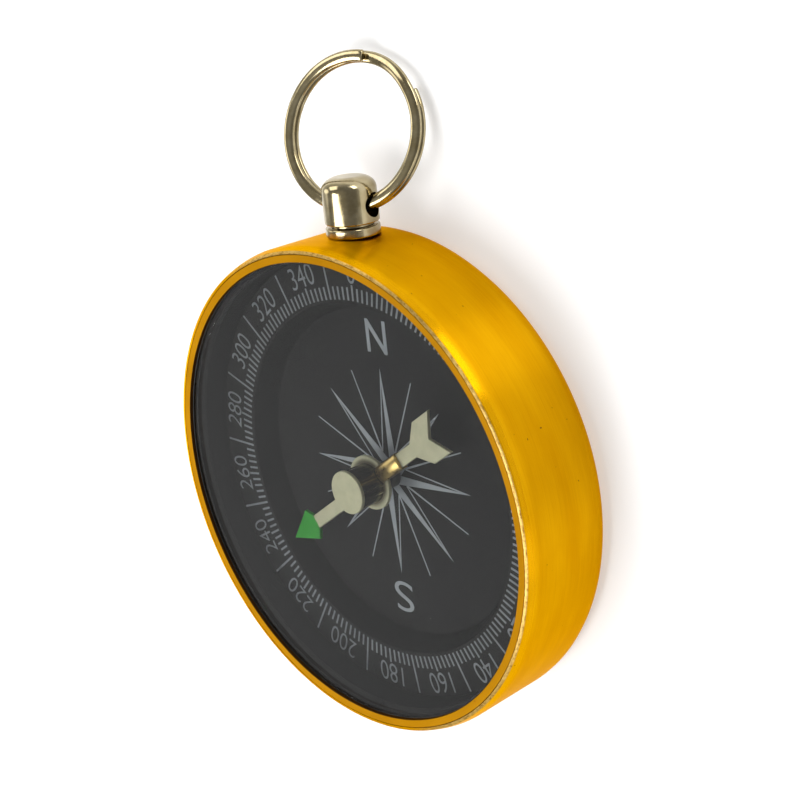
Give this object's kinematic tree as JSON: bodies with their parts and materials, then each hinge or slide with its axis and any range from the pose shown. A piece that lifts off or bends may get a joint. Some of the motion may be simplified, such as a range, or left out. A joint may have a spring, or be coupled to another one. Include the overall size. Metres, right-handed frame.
{
  "type": "compass keychain",
  "caption": "Round pocket compass in a gold aluminium case with a stepped dark dial and a turning needle under a clear window, on a swivelling bow with a split key ring.",
  "frame": {"origin": "middle of the flat back face that the compass lies on", "axes": "+Z out of the dial, +Y from the dial's centre towards the bow and key ring, +X towards three o'clock"},
  "size_m": [0.044, 0.0589, 0.0102],
  "materials": {
    "gold_case": "gold anodised, satin brushed",
    "gold_bezel": "gold anodised, satin turned",
    "crystal": "clear polished acrylic",
    "gasket": "glossy black",
    "dial": "dark satin lacquer with grey print",
    "spacer": "plain black moulding",
    "brass": "turned",
    "dark_brass": "dull brown brass",
    "steel": "ground",
    "needle_paint": "cream satin paint with a green arrow head",
    "jewel": "polished bearing cup",
    "nickel": "bright nickel plate"
  },
  "bodies": {
    "case": {"case_cup": "gold_case", "bezel_ring": "gold_bezel", "crystal": "crystal", "lens_gasket": "gasket", "dial_pan": "dial", "spacer_ring": "spacer", "pivot_boss": "brass", "pivot_pin": "steel", "bow_ferrule": "nickel"},
    "needle": {"needle_blade": "needle_paint", "needle_cap": "dark_brass", "cap_disc": "needle_paint", "cap_jewel": "jewel", "balance_sleeve": "brass"},
    "bow": {"bow_bush": "nickel", "bow_screw": "nickel", "bow_washer": "nickel"},
    "key_ring": {"split_ring": "nickel"}
  },
  "joints": [
    {"name": "needle_spin", "type": "hinge", "parent": "case", "child": "needle", "pos_m": [0, 0, 0.0075], "axis": [0, 0, 1], "continuous": true},
    {"name": "bow_swivel", "type": "hinge", "parent": "case", "child": "bow", "pos_m": [0, 0.0229, 0.0049], "axis": [0, 1, 0], "continuous": true},
    {"name": "ring_swing", "type": "hinge", "parent": "bow", "child": "key_ring", "pos_m": [0, 0.02459, 0.0049], "axis": [0.9613, 0, -0.2756], "range_deg": [-89, 121]}
  ]
}
